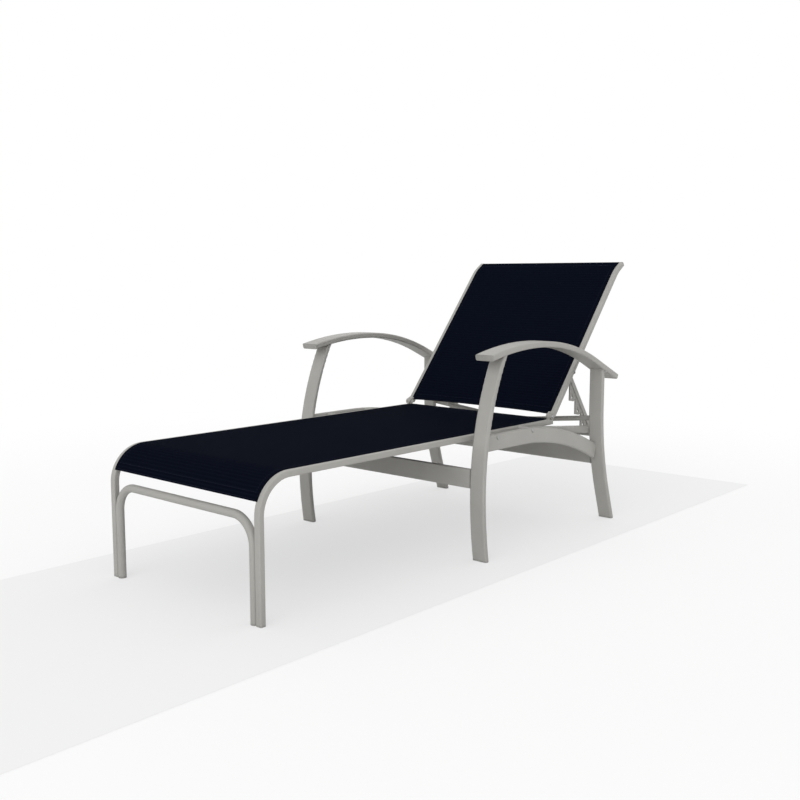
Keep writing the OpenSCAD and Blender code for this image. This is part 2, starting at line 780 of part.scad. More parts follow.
// Pivot bolts of the prop arms, through the back rails
module prop_bolts() steel() both() {
    prop_bore(prop_inner - side_gap, rail_reach, 0);
    place(rail_reach, pivot_at, pivot_high) rotate([0, 90, 0])
        domed_head(prop_bolt * bolt_head_wide_share, prop_bolt * bolt_head_share);
    place(prop_inner - side_gap - prop_bolt / 2, pivot_at, pivot_high) rotate([0, 90, 0])
        cylinder(h = prop_bolt / 2, d = prop_bolt * head_wide_share);
}

// The prop arm's own directions: X down along the arm, Z out of its rear side
module on_prop(x) place(x, pivot_at, pivot_high) heading(-prop_slope) children();

module prop_arm() difference() {
    on_prop(prop_mid) rotate([90, 0, 0]) linear_extrude(prop_wide, center = true) {
        translate([0, -prop_thick / 2]) square([prop_long, prop_thick]);
        circle(d = prop_thick);
        translate([prop_long, 0]) circle(d = prop_thick);
    }
    prop_bore(prop_inner - overrun, prop_outer + overrun, pin_fit);
    on_prop(0) translate([prop_long, 0, 0]) rotate([90, 0, 0])
        cylinder(h = 2 * rail_reach, d = tie_round + 2 * pin_fit, center = true);
}

module prop_arm_right() frame_coat() prop_arm();

module prop_arm_left() frame_coat() left() prop_arm();

// One tooth of the notched plate, in level and upright directions from its corner
tooth_tall = notch_pitch * sin(prop_slope);
window_tall = tooth_tall * window_share;

module tooth() difference() {
    polygon([
        [0, 0], [-lead_run, -notch_lead], [-lead_run - notch_foot, notch_rise - notch_lead],
        [-lead_run - notch_foot, tooth_tall + prop_thick], [2 * prop_thick, tooth_tall + prop_thick],
        [2 * prop_thick, 0]
    ]);
    translate([finger_wide - lead_run - notch_foot, finger_wide - notch_lead])
        polygon([[0, 0], [notch_foot - finger_wide, 0], [notch_foot * window_lean_share, window_tall]]);
}

// Notched plate welded to the arm's front side: a zigzag of three teeth
module prop_rack() difference() {
    place(prop_mid, corner_at, corner_high) rotate([90, 0, 90])
        linear_extrude(notch_plate, center = true) {
            for (step = [-1, 0, 1]) {
                translate([
                    step * notch_pitch * cos(prop_slope), -step * notch_pitch * sin(prop_slope)
                ]) tooth();
            }
        }
    on_prop(prop_mid) translate([-prop_long, -prop_wide, -prop_thick / 2])
        cube([3 * prop_long, 2 * prop_wide, prop_long]);
}

module prop_rack_right() frame_coat() prop_rack();

module prop_rack_left() frame_coat() left() prop_rack();

module prop_tie_bar() frame_coat() on_prop(0) translate([prop_long, 0, 0]) rotate([90, 0, 0])
    cylinder(h = 2 * prop_outer, d = tie_round, center = true);

seat_rail_right();
seat_rail_left();
foot_stretcher();
seat_spreader_front();
seat_spreader_rear();
hinge_lug_right();
hinge_lug_left();
hinge_pins();
seat_sling();
seat_splines();
front_leg_right();
front_leg_left();
rear_leg_right();
rear_leg_left();
arm_right();
arm_left();
arm_caps();
front_cross_rail();
rear_cross_rail();
side_rail_right();
side_rail_left();
rear_brace_right();
rear_brace_left();
rail_spacers();
spacer_bolts();
support_bar();
rail_glides();
stretcher_glides();
leg_glides();
back_rail_right();
back_rail_left();
back_fork_right();
back_fork_left();
back_spreader_lower();
back_spreader_upper();
back_sling();
back_splines();
back_caps();
prop_bolts();
prop_arm_right();
prop_arm_left();
prop_rack_right();
prop_rack_left();
prop_tie_bar();
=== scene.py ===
"""Looks of the sling chaise lounge: powder-coated frame, stretched navy slings, plastic and steel trim."""

import math

import bmesh
import bpy
from mathutils import Matrix, Vector


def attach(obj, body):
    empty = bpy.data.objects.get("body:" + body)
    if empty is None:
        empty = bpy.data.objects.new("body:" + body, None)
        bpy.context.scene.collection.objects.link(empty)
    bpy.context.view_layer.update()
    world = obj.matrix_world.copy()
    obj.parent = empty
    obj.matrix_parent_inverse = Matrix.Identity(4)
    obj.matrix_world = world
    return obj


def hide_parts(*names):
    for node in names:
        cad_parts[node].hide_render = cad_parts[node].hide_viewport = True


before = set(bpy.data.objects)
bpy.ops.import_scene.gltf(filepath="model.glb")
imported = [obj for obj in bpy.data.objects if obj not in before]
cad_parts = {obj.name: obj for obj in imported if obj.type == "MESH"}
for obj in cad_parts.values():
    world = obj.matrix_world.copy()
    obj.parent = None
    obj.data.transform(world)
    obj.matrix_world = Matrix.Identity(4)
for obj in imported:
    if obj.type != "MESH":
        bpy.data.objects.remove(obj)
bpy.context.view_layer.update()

# Sizes in metres, as in the part's source. Y zero is the middle of the whole length.
MIDDLE = 0.8330475
RAIL_REACH = 0.3095
RAIL_WIDE = 0.020
RAIL_THICK = 0.0165
RAIL_TOP = 0.3615
RAIL_INNER = RAIL_REACH - RAIL_WIDE
SEAT_LONG = 1.233
FOOT_BEND = 0.100
SLING_DROP = 0.298
GROOVE_X = 0.2945
SLING_THICK = 0.0012
SLING_GAP = 0.0003
BACK_ANGLE = math.radians(50.4)
HINGE = Vector((0.0, 1.229 - MIDDLE, 0.371))
HINGE_SET = 0.0086
BACK_LONG = 0.591
BACK_START = 0.0132
BACK_BEND = 0.130
BACK_TURN = math.radians(17.4)
BACK_TAIL = 0.024
BACK_FORWARD = Vector((0.0, math.cos(BACK_ANGLE), math.sin(BACK_ANGLE)))
BACK_OUT = Vector((0.0, -math.sin(BACK_ANGLE), math.cos(BACK_ANGLE)))
BAR_CORNER = (0.0, 0.5999, 0.3419)
PROP_X = 0.2829
SPREADER_ROUND = 0.016
SPREADER_HIGH = RAIL_TOP - RAIL_THICK + SPREADER_ROUND / 2
SEAT_SPREADERS = (0.420, 1.1958)
BACK_SPREADERS = (0.09155, 0.571)
LEG_INNER = 0.335
CROSS_RAIL_THICK = 0.013
CROSS_RAIL_TALL = 0.057
CROSS_RAILS = ((0.76951, 0.2415), (1.43151, 0.2225))

# The slings: how they sit on the rails, dip, bow at the back's lower hem and wrap their rods
SLING_LIFT = SLING_GAP + SLING_THICK / 2
SAG = 0.0005
HEM_BOW = 0.0052
HEM_BOW_REACH = 0.060
SHOULDER = 0.0008
ROD_DEEP = 0.0046
LOOP = 0.00262
NARROW_HALF = 0.2867
SEAT_NOTCH = 0.0155
BACK_NOTCH = 0.0080
STITCH_PITCH = 0.0068
STITCH_ROWS = (0.0045, 0.0215)
SIDE_ROW_START = 0.025


# ---------------------------------------------------------------- materials

def new_material(name):
    made = bpy.data.materials.new(name)
    made.use_nodes = True
    return made, made.node_tree.nodes, made.node_tree.links


def shader_of(nodes):
    return nodes["Principled BSDF"]


def noise(nodes, links, coords, scale, detail=3.0, rough=0.5):
    tex = nodes.new("ShaderNodeTexNoise")
    tex.inputs["Scale"].default_value = scale
    tex.inputs["Detail"].default_value = detail
    tex.inputs["Roughness"].default_value = rough
    links.new(coords, tex.inputs["Vector"])
    return tex.outputs["Fac"]


def ramp(nodes, links, value, stops):
    made = nodes.new("ShaderNodeValToRGB")
    points = made.color_ramp.elements
    points[0].position, points[0].color = stops[0][0], (*stops[0][1], 1)
    points[1].position, points[1].color = stops[-1][0], (*stops[-1][1], 1)
    for place, colour in stops[1:-1]:
        extra = points.new(place)
        extra.color = (*colour, 1)
    links.new(value, made.inputs["Fac"])
    return made.outputs["Color"]


def scaled(nodes, links, value, low, high):
    made = nodes.new("ShaderNodeMapRange")
    made.inputs["To Min"].default_value = low
    made.inputs["To Max"].default_value = high
    links.new(value, made.inputs["Value"])
    return made.outputs["Result"]


def maths(nodes, links, kind, a, b=None):
    made = nodes.new("ShaderNodeMath")
    made.operation = kind
    for socket, value in zip(made.inputs, (a, b)):
        if value is None:
            continue
        if isinstance(value, (int, float)):
            socket.default_value = value
        else:
            links.new(value, socket)
    return made.outputs["Value"]


def bump(nodes, links, height, strength, distance, shader):
    made = nodes.new("ShaderNodeBump")
    made.inputs["Strength"].default_value = strength
    made.inputs["Distance"].default_value = distance
    links.new(height, made.inputs["Height"])
    links.new(made.outputs["Normal"], shader.inputs["Normal"])


def mixed(nodes, links, share, first, second):
    made = nodes.new("ShaderNodeMix")
    made.data_type = "RGBA"
    links.new(share, made.inputs["Factor"])
    for socket, value in ((made.inputs[6], first), (made.inputs[7], second)):
        if isinstance(value, tuple):
            socket.default_value = (*value, 1)
        else:
            links.new(value, socket)
    return made.outputs[2]


def nearness(nodes, links, coords, place, keep, reach):
    """One at a place and zero from the reach on. Keep leaves out the directions that don't count."""
    flattened = nodes.new("ShaderNodeVectorMath")
    flattened.operation = "MULTIPLY"
    links.new(coords, flattened.inputs[0])
    flattened.inputs[1].default_value = keep
    distance = nodes.new("ShaderNodeVectorMath")
    distance.operation = "DISTANCE"
    links.new(flattened.outputs["Vector"], distance.inputs[0])
    distance.inputs[1].default_value = [p * k for p, k in zip(place, keep)]
    return scaled(nodes, links, maths(nodes, links, "DIVIDE", distance.outputs["Value"], reach), 1.0, 0.0)


def powder_coat(name, rubs=()):
    """Warm light grey powder coat: faint cloudiness, fine orange peel, a little dust near the floor.
    Rubs are places at which the coat is worn through, as (place, kept directions, reach)."""
    made, nodes, links = new_material(name)
    shader = shader_of(nodes)
    coords = nodes.new("ShaderNodeTexCoord").outputs["Object"]
    cloud = noise(nodes, links, coords, 9.0, 4.0)
    colour = ramp(nodes, links, cloud, [
        (0.30, (0.318, 0.314, 0.296)), (0.52, (0.338, 0.333, 0.314)), (0.75, (0.356, 0.351, 0.332))])
    height = nodes.new("ShaderNodeSeparateXYZ")
    links.new(coords, height.inputs[0])
    low = scaled(nodes, links, maths(nodes, links, "MULTIPLY", height.outputs["Z"], -14.0), 0.0, 1.0)
    dusty = maths(nodes, links, "MULTIPLY", scaled(nodes, links, low, 0.35, 0.0),
                  noise(nodes, links, coords, 60.0, 5.0, 0.7))
    colour = mixed(nodes, links, dusty, colour, (0.40, 0.385, 0.35))
    speckle = noise(nodes, links, coords, 900.0, 2.0, 0.5)
    colour = mixed(nodes, links, scaled(nodes, links, speckle, -0.10, 0.30), colour, (0.385, 0.380, 0.358))
    if rubs:
        near = 0.0
        for place, keep, reach in rubs:
            near = maths(nodes, links, "MAXIMUM", near, nearness(nodes, links, coords, place, keep, reach))
        chips = noise(nodes, links, coords, 240.0, 6.0, 0.75)
        bare = maths(nodes, links, "GREATER_THAN", maths(nodes, links, "ADD", chips, near), 1.25)
        colour = mixed(nodes, links, bare, colour, (0.42, 0.42, 0.41))
        links.new(scaled(nodes, links, bare, 0.0, 0.7), shader.inputs["Metallic"])
    links.new(colour, shader.inputs["Base Color"])
    grain = noise(nodes, links, coords, 420.0, 3.0, 0.55)
    links.new(scaled(nodes, links, cloud, 0.42, 0.52), shader.inputs["Roughness"])
    shader.inputs["Specular IOR Level"].default_value = 0.3
    bump(nodes, links, grain, 0.30, 0.0008, shader)
    return made


def moulded_plastic(name, light, dark, grain_scale=700.0):
    made, nodes, links = new_material(name)
    shader = shader_of(nodes)
    coords = nodes.new("ShaderNodeTexCoord").outputs["Object"]
    flow = noise(nodes, links, coords, 45.0, 4.0)
    colour = ramp(nodes, links, flow, [(0.3, dark), (0.7, light)])
    scuffs = noise(nodes, links, coords, 260.0, 6.0, 0.8)
    rubbed = maths(nodes, links, "GREATER_THAN", scuffs, 0.63)
    pale = tuple(min(1.0, c * 1.25) for c in light)
    links.new(mixed(nodes, links, rubbed, colour, pale), shader.inputs["Base Color"])
    links.new(scaled(nodes, links, flow, 0.38, 0.55), shader.inputs["Roughness"])
    shader.inputs["Specular IOR Level"].default_value = 0.35
    bump(nodes, links, noise(nodes, links, coords, grain_scale, 2.0), 0.12, 0.0004, shader)
    return made


def stainless(name):
    """Turned stainless steel: fine rings across the axis and faint blotches."""
    made, nodes, links = new_material(name)
    shader = shader_of(nodes)
    coords = nodes.new("ShaderNodeTexCoord").outputs["Object"]
    stretch = nodes.new("ShaderNodeMapping")
    stretch.inputs["Scale"].default_value = (900.0, 60.0, 60.0)
    links.new(coords, stretch.inputs["Vector"])
    rings = noise(nodes, links, stretch.outputs["Vector"], 1.0, 3.0)
    colour = ramp(nodes, links, rings, [(0.3, (0.31, 0.31, 0.305)), (0.7, (0.42, 0.42, 0.41))])
    links.new(colour, shader.inputs["Base Color"])
    shader.inputs["Metallic"].default_value = 1.0
    links.new(scaled(nodes, links, rings, 0.24, 0.42), shader.inputs["Roughness"])
    bump(nodes, links, rings, 0.15, 0.0002, shader)
    return made


def weld_metal(name):
    """Powder coat over a stack of weld ripples."""
    made, nodes, links = new_material(name)
    shader = shader_of(nodes)
    coords = nodes.new("ShaderNodeTexCoord").outputs["Object"]
    lumps = noise(nodes, links, coords, 520.0, 2.0)
    colour = ramp(nodes, links, lumps, [(0.3, (0.300, 0.296, 0.279)), (0.7, (0.345, 0.340, 0.321))])
    links.new(colour, shader.inputs["Base Color"])
    links.new(scaled(nodes, links, lumps, 0.42, 0.55), shader.inputs["Roughness"])
    shader.inputs["Specular IOR Level"].default_value = 0.3
    bump(nodes, links, lumps, 0.4, 0.0008, shader)
    return made


def woven_sling(name):
    """Vinyl-coated yarns in a plain weave: the piece's UV map holds metres across and along the cloth."""
    made, nodes, links = new_material(name)
    shader = shader_of(nodes)
    split = nodes.new("ShaderNodeSeparateXYZ")
    flat = nodes.new("ShaderNodeUVMap")
    flat.uv_map = "cloth"
    links.new(flat.outputs["UV"], split.inputs[0])
    across, along = split.outputs["X"], split.outputs["Y"]
    yarn = 2 * math.pi / 0.0030
    over = maths(nodes, links, "MULTIPLY",
                 maths(nodes, links, "SINE", maths(nodes, links, "MULTIPLY", across, yarn)),
                 maths(nodes, links, "SINE", maths(nodes, links, "MULTIPLY", along, yarn)))
    weave = scaled(nodes, links, over, 0.0, 1.0)
    rib = scaled(nodes, links, maths(nodes, links, "SINE", maths(
        nodes, links, "MULTIPLY", along, 2 * math.pi / 0.0105)), 0.0, 1.0)
    coords = nodes.new("ShaderNodeTexCoord").outputs["Object"]
    slub = noise(nodes, links, coords, 18.0, 5.0, 0.6)
    # The colour follows the weave's height: painted shade in the low parts of the weave and painted highlight
    # on its high crossings
    colour = ramp(nodes, links, weave, [
        (0.15, (0.0020, 0.0030, 0.0068)), (0.85, (0.0062, 0.0088, 0.0186))])
    # Lighter colour on the rib crests, which also rise in the bump: a painted highlight
    colour = mixed(nodes, links, maths(nodes, links, "MULTIPLY", rib, 0.45), colour, (0.0058, 0.0082, 0.0174))
    colour = mixed(nodes, links, maths(nodes, links, "MULTIPLY", slub, 0.30), colour, (0.0028, 0.0040, 0.0088))
    links.new(colour, shader.inputs["Base Color"])
    links.new(scaled(nodes, links, weave, 0.95, 0.82), shader.inputs["Roughness"])
    shader.inputs["Specular IOR Level"].default_value = 0.004
    height = maths(nodes, links, "ADD", weave, maths(nodes, links, "MULTIPLY", rib, 0.6))
    bump(nodes, links, height, 0.55, 0.0008, shader)
    return made


def sewing_thread(name):
    made, nodes, links = new_material(name)
    shader = shader_of(nodes)
    coords = nodes.new("ShaderNodeTexCoord").outputs["Object"]
    twist = noise(nodes, links, coords, 1500.0, 2.0)
    links.new(ramp(nodes, links, twist, [(0.3, (0.008, 0.010, 0.020)), (0.7, (0.016, 0.021, 0.038))]),
              shader.inputs["Base Color"])
    links.new(scaled(nodes, links, twist, 0.5, 0.7), shader.inputs["Roughness"])
    shader.inputs["Specular IOR Level"].default_value = 0.12
    return made


coat = powder_coat("frame_powder_coat", [((0.0, 0.0, 0.0), (0.0, 0.0, 1.0), 0.014)])
hinge_coat = powder_coat("hinge_powder_coat", [((0.0, HINGE.y, HINGE.z), (0.0, 1.0, 1.0), 0.0125)])
notch_coat = powder_coat("notch_powder_coat", [(BAR_CORNER, (0.0, 1.0, 1.0), 0.034)])
bar_coat = powder_coat("bar_powder_coat", [
    ((side * PROP_X, 0.0, 0.0), (1.0, 0.0, 0.0), 0.009) for side in (-1, 1)])
cap_plastic = moulded_plastic("cap_plastic", (0.33, 0.325, 0.306), (0.29, 0.286, 0.268))
glide_plastic = moulded_plastic("glide_plastic", (0.31, 0.305, 0.288), (0.25, 0.247, 0.232))
rod_plastic = moulded_plastic("spline_plastic", (0.012, 0.014, 0.022), (0.008, 0.009, 0.014))
steel = stainless("bolt_steel")
weld = weld_metal("weld_coat")
cloth = woven_sling("sling_weave")
thread = sewing_thread("hem_thread")


def dress(node, material):
    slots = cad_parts[node].data.materials
    slots.clear()
    slots.append(material)


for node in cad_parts:
    if node in ("arm_caps", "back_caps"):
        dress(node, cap_plastic)
    elif node.endswith("glides"):
        dress(node, glide_plastic)
    elif node.endswith("splines"):
        dress(node, rod_plastic)
    elif node in ("hinge_pins", "spacer_bolts", "prop_bolts"):
        dress(node, steel)
    elif node.startswith("prop_rack"):
        dress(node, notch_coat)
    elif node.startswith(("hinge_lug", "back_fork")):
        dress(node, hinge_coat)
    elif node == "support_bar":
        dress(node, bar_coat)
    elif "sling" not in node:
        dress(node, coat)


# ---------------------------------------------------------------- pieces

def piece(name, made, material, smooth=True):
    """Closes a bmesh into an object at the origin, with its place in its mesh."""
    bmesh.ops.remove_doubles(made, verts=made.verts, dist=1e-6)
    bmesh.ops.recalc_face_normals(made, faces=made.faces)
    mesh = bpy.data.meshes.new(name)
    made.to_mesh(mesh)
    made.free()
    for face in mesh.polygons:
        face.use_smooth = smooth
    mesh.materials.append(material)
    obj = bpy.data.objects.new(name, mesh)
    bpy.context.scene.collection.objects.link(obj)
    return obj


HEM_TURN = math.asin((SLING_DROP - (RAIL_TOP - FOOT_BEND)) / FOOT_BEND)
SEAT_CLOTH = FOOT_BEND * (math.pi / 2 - HEM_TURN) + SEAT_LONG - 0.0025 - FOOT_BEND
BACK_CLOTH = BACK_LONG - BACK_START + BACK_BEND * BACK_TURN + BACK_TAIL


def seat_line(along):
    """Point and front direction on the seat rails' sling line, from the front hem's edge to the rear."""
    bend = FOOT_BEND * (math.pi / 2 - HEM_TURN)
    if along < bend:
        turn = HEM_TURN + along / FOOT_BEND
        out = Vector((0.0, -math.cos(turn), math.sin(turn)))
        return Vector((0.0, FOOT_BEND - MIDDLE, RAIL_TOP - FOOT_BEND)) + FOOT_BEND * out, out
    return Vector((0.0, FOOT_BEND - MIDDLE + along - bend, RAIL_TOP)), Vector((0.0, 0.0, 1.0))


def back_line(along):
    """Point and front direction on the back rails' sling line, from the lower hem's edge to the head end."""
    first = BACK_LONG - BACK_START
    if along <= first:
        reach, angle = BACK_START + along, BACK_ANGLE
        drop = 0.0
    else:
        bent = min(along - first, BACK_BEND * BACK_TURN)
        rest = along - first - bent
        turn = bent / BACK_BEND
        radius = BACK_BEND + RAIL_THICK / 2
        reach = BACK_LONG + radius * math.sin(turn) + rest * math.cos(turn)
        drop = radius * (1 - math.cos(turn)) + rest * math.sin(turn)
        angle = BACK_ANGLE - turn
    point = HINGE + BACK_FORWARD * reach + BACK_OUT * (RAIL_THICK / 2 - HINGE_SET - drop)
    return point, Vector((0.0, -math.sin(angle), math.cos(angle)))


def eased(value, low, high):
    share = min(1.0, max(0.0, (value - low) / (high - low)))
    return share * share * (3 - 2 * share)


def half_section():
    """Across a sling from its middle: flat to the shoulder, round into the slot, down it, and round
    the rod in the bore. Each station is (distance across the cloth, x, height above the rail)."""
    flat = GROOVE_X - SHOULDER
    stations = [(flat * step / 26, flat * step / 26, 0.0) for step in range(26)]
    stations.insert(-1, (NARROW_HALF, NARROW_HALF, 0.0))
    stations = sorted(set(stations))
    for step in range(5):
        turn = math.pi / 2 * step / 4
        stations.append((flat + SHOULDER * turn, flat + SHOULDER * math.sin(turn),
                         -SHOULDER * (1 - math.cos(turn))))
    down = ROD_DEEP + SLING_LIFT - LOOP - SHOULDER
    walked = flat + SHOULDER * math.pi / 2 + down
    stations.append((walked, GROOVE_X, -SHOULDER - down))
    for step in range(1, 15):
        turn = math.radians(340) * step / 14
        stations.append((walked + LOOP * turn, GROOVE_X + LOOP * math.sin(turn),
                         -SHOULDER - down - LOOP * (1 - math.cos(turn))))
    return stations


HALF = half_section()


def laid(wanted, places):
    """A unit grid's vertices in the wanted numbers of steps, as (vertex, column, row)."""
    across, along = len(wanted) - 1, len(places) - 1
    made = bmesh.new()
    bmesh.ops.create_grid(made, x_segments=across, y_segments=along, size=0.5)
    return made, [(vert, round((vert.co.x + 0.5) * across), round((vert.co.y + 0.5) * along))
                  for vert in made.verts]


def sling(name, line, long, notch, notch_at_start):
    """A sling stretched between two rails and bent to their line, its side hems round the rods
    in the grooves, its corners cut away beside the hinges."""
    columns = [(-wide, -x, high) for wide, x, high in reversed(HALF)] + HALF[1:]
    edge = notch if notch_at_start else long - notch
    count = max(60, int(long / 0.009))
    rows = sorted([long * step / count for step in range(count + 1)] + [edge])
    made, grid = laid(columns, rows)
    flat = made.loops.layers.uv.new("cloth")
    made.verts.index_update()
    spots = {vert.index: (column, row) for vert, column, row in grid}
    cut = []
    for face in made.faces:
        corners = [spots[vert.index] for vert in face.verts]
        for loop, (column, row) in zip(face.loops, corners):
            loop[flat].uv = (columns[column][0], rows[row])
        middle = sum(rows[row] for _, row in corners) / len(corners)
        outmost = max(abs(columns[column][0]) for column, _ in corners)
        beside_hinge = middle < edge if notch_at_start else middle > edge
        if beside_hinge and outmost > NARROW_HALF + 1e-6:
            cut.append(face)
    for vert, column, row in grid:
        _, x, high = columns[column]
        point, out = line(rows[row] + hem_bow(line, rows[row], x))
        vert.co = point + out * (SLING_LIFT + high - sag_at(line, rows[row], x)) + Vector((x, 0.0, 0.0))
    bmesh.ops.delete(made, geom=cut, context="FACES")
    obj = piece(name, made, cloth)
    thick = obj.modifiers.new("thickness", "SOLIDIFY")
    thick.thickness = SLING_THICK * 0.75
    thick.offset = 0.0
    return obj


def hem_bow(line, along, x):
    """The back's lower hem is pulled down at the rails and arches up between them."""
    if line is seat_line:
        return 0.0
    return -HEM_BOW * (abs(x) / RAIL_INNER) ** 3 * (1.0 - eased(along, 0.0, HEM_BOW_REACH))


def sag_at(line, along, x):
    """How far the stretched sheet dips between the rails and away from its end hems."""
    long = SEAT_CLOTH if line is seat_line else BACK_CLOTH
    across = math.cos(math.pi / 2 * min(1.0, abs(x) / RAIL_INNER)) ** 2
    return SAG * across * eased(along, 0.0, 0.12) * eased(long - along, 0.0, 0.10)


def hem(name, line, long, at_start, fold=0.026):
    """The turned-under hem between the rails, with its rolled edge."""
    half = RAIL_INNER - 0.0035
    made = bmesh.new()
    bmesh.ops.create_grid(made, x_segments=60, y_segments=6, size=0.5)
    flat = made.loops.layers.uv.new("cloth")
    for vert in made.verts:
        vert.co.x *= 2 * half
        inward = (vert.co.y + 0.5) * fold
        vert.co.y = inward if at_start else long - inward
    for face in made.faces:
        for loop in face.loops:
            loop[flat].uv = (loop.vert.co.x, loop.vert.co.y)
    for vert in made.verts:
        point, out = line(vert.co.y + hem_bow(line, vert.co.y, vert.co.x))
        from_edge = vert.co.y if at_start else long - vert.co.y
        # At the fold the hem meets the sheet, and further in it lies just under it
        under = 0.0010 * eased(from_edge, 0.0, 0.005) + sag_at(line, vert.co.y, vert.co.x)
        vert.co = point + out * (SLING_LIFT - under) + Vector((vert.co.x, 0.0, 0.0))
    obj = piece(name, made, cloth)
    thick = obj.modifiers.new("thickness", "SOLIDIFY")
    thick.thickness = SLING_THICK * 0.7
    thick.offset = 0.0
    return obj


def stitch_bead():
    """One stitch at the origin: a flattened bead of thread along X."""
    made = bmesh.new()
    bmesh.ops.create_uvsphere(made, u_segments=6, v_segments=4, radius=1.0,
                              matrix=Matrix.Diagonal((0.0026, 0.00042, 0.00030, 1.0)))
    mesh = bpy.data.meshes.new("stitch_bead")
    made.to_mesh(mesh)
    made.free()
    return mesh


def sew(made, bead, line, along, x, across_row):
    """Lays one stitch on the cloth, across the sling or along it."""
    point, out = line(along + hem_bow(line, along, x))
    right = Vector((1.0, 0.0, 0.0))
    ahead = out.cross(right)
    run, side = (right, ahead) if across_row else (ahead, right)
    lift = SLING_LIFT + SLING_THICK * 0.4 - sag_at(line, along, x)
    place = Matrix.Translation(point + out * lift + x * right)
    stitch = bead.copy()
    stitch.transform(place @ Matrix((run, side, out)).transposed().to_4x4())
    made.from_mesh(stitch)
    bpy.data.meshes.remove(stitch)


def stitches(name, line, long):
    """Two rows across each end hem and one row beside each rail."""
    made = bmesh.new()
    bead = stitch_bead()
    half = RAIL_INNER - 0.006
    count = int(2 * half / STITCH_PITCH)
    for from_edge in STITCH_ROWS:
        for end in (from_edge, long - from_edge):
            for step in range(count):
                sew(made, bead, line, end, -half + (step + 0.5) * 2 * half / count, True)
    side = RAIL_INNER - 0.0085
    row_long = long - 2 * SIDE_ROW_START
    count = int(row_long / STITCH_PITCH)
    for step in range(count):
        for x in (-side, side):
            sew(made, bead, line, SIDE_ROW_START + (step + 0.5) * row_long / count, x, False)
    bpy.data.meshes.remove(bead)
    return piece(name, made, thread)


def fillet(made, place, across, up, corner, wide=0.0028, ripples=0.0003):
    """A weld bead round a tube's end: a ring of the tube's outline, spread on the wall it meets.
    The tube runs along the place's Z, and the wall is at Z zero."""
    steps = 72
    ring = bmesh.ops.create_circle(made, cap_ends=False, segments=steps, radius=1.0)["verts"]
    edges = list({edge for vert in ring for edge in vert.link_edges})
    first = list(edges)

    def outline(turn, grow):
        # A superellipse follows a rounded rectangle or, with equal sides, a circle
        a, b = across / 2 + grow, up / 2 + grow
        power = 2.0 if corner >= 0.999 else 2.0 / (0.12 + 0.88 * corner)
        c, s = math.cos(turn), math.sin(turn)
        return (math.copysign(abs(c) ** (2 / power), c) * a, math.copysign(abs(s) ** (2 / power), s) * b)

    def lay(verts, grow, height):
        for vert in verts:
            turn = math.atan2(vert.co.y, vert.co.x)
            wave = ripples * math.sin(turn * 26)
            x, y = outline(turn, grow + wave)
            placed[vert] = Vector((x, y, height))

    placed = {}
    levels = ((-0.0003, wide * 1.05), (wide * 0.22, wide * 0.85), (wide * 0.60, wide * 0.50),
              (wide * 0.92, wide * 0.16), (wide * 1.02, -0.0002))
    rings = [ring]
    for _ in levels[1:]:
        grown = bmesh.ops.extrude_edge_only(made, edges=edges)["geom"]
        ring = [g for g in grown if isinstance(g, bmesh.types.BMVert)]
        edges = [g for g in grown if isinstance(g, bmesh.types.BMEdge)
                 and all(v in ring for v in g.verts)]
        rings.append(ring)
    for (grow, height), verts in zip(levels, rings):
        lay(verts, grow, height)
    for vert, point in placed.items():
        vert.co = place @ point
    bmesh.ops.bridge_loops(made, edges=first + edges)


def facing(point, direction, up=Vector((0.0, 0.0, 1.0))):
    """A place whose Z runs along the direction and whose Y is the given up."""
    z = Vector(direction).normalized()
    y = (up - z * up.dot(z)).normalized()
    x = y.cross(z)
    return Matrix.Translation(Vector(point)) @ Matrix((x, y, z)).transposed().to_4x4()


def frame_welds():
    """Beads round the ends of the cross rails and of the seat's spreader bars."""
    made = bmesh.new()
    for side in (-1, 1):
        inward = (-side, 0.0, 0.0)
        for y, z in CROSS_RAILS:
            fillet(made, facing((side * LEG_INNER, y - MIDDLE, z), inward),
                   CROSS_RAIL_THICK, CROSS_RAIL_TALL, 0.35, 0.0013, 0.0001)
        for y in SEAT_SPREADERS:
            fillet(made, facing((side * RAIL_INNER, y - MIDDLE, SPREADER_HIGH), inward),
                   SPREADER_ROUND, SPREADER_ROUND, 1.0, 0.0016, 0.0001)
    return piece("frame_welds", made, weld)


def back_welds():
    """Beads round the ends of the back's spreader bars."""
    made = bmesh.new()
    for side in (-1, 1):
        for along in BACK_SPREADERS:
            at = HINGE + BACK_FORWARD * along - BACK_OUT * HINGE_SET + Vector((side * RAIL_INNER, 0.0, 0.0))
            fillet(made, facing(at, (-side, 0.0, 0.0), BACK_OUT),
                   SPREADER_ROUND, SPREADER_ROUND, 1.0, 0.0016, 0.0001)
    return piece("back_welds", made, weld)


seat_cloth = sling("seat_sling_cloth", seat_line, SEAT_CLOTH, SEAT_NOTCH, False)
back_cloth = sling("back_sling_cloth", back_line, BACK_CLOTH, BACK_NOTCH, True)
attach(seat_cloth, "base")
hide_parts("seat_sling")
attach(back_cloth, "back")
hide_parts("back_sling")

seat_hems = [hem("seat_front_hem", seat_line, SEAT_CLOTH, True),
             hem("seat_rear_hem", seat_line, SEAT_CLOTH, False)]
back_hems = [hem("back_lower_hem", back_line, BACK_CLOTH, True),
             hem("back_upper_hem", back_line, BACK_CLOTH, False)]
seat_thread = stitches("seat_sling_stitches", seat_line, SEAT_CLOTH)
back_thread = stitches("back_sling_stitches", back_line, BACK_CLOTH)
for trim in (*seat_hems, seat_thread):
    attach(trim, "base")
for trim in (*back_hems, back_thread):
    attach(trim, "back")

base_beads = frame_welds()
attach(base_beads, "base")
back_beads = back_welds()
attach(back_beads, "back")


# ---------------------------------------------------------------- floor, light and camera

FLOOR_GLOW = 0.62
FLOOR_FADE = (1.2, 3.2)


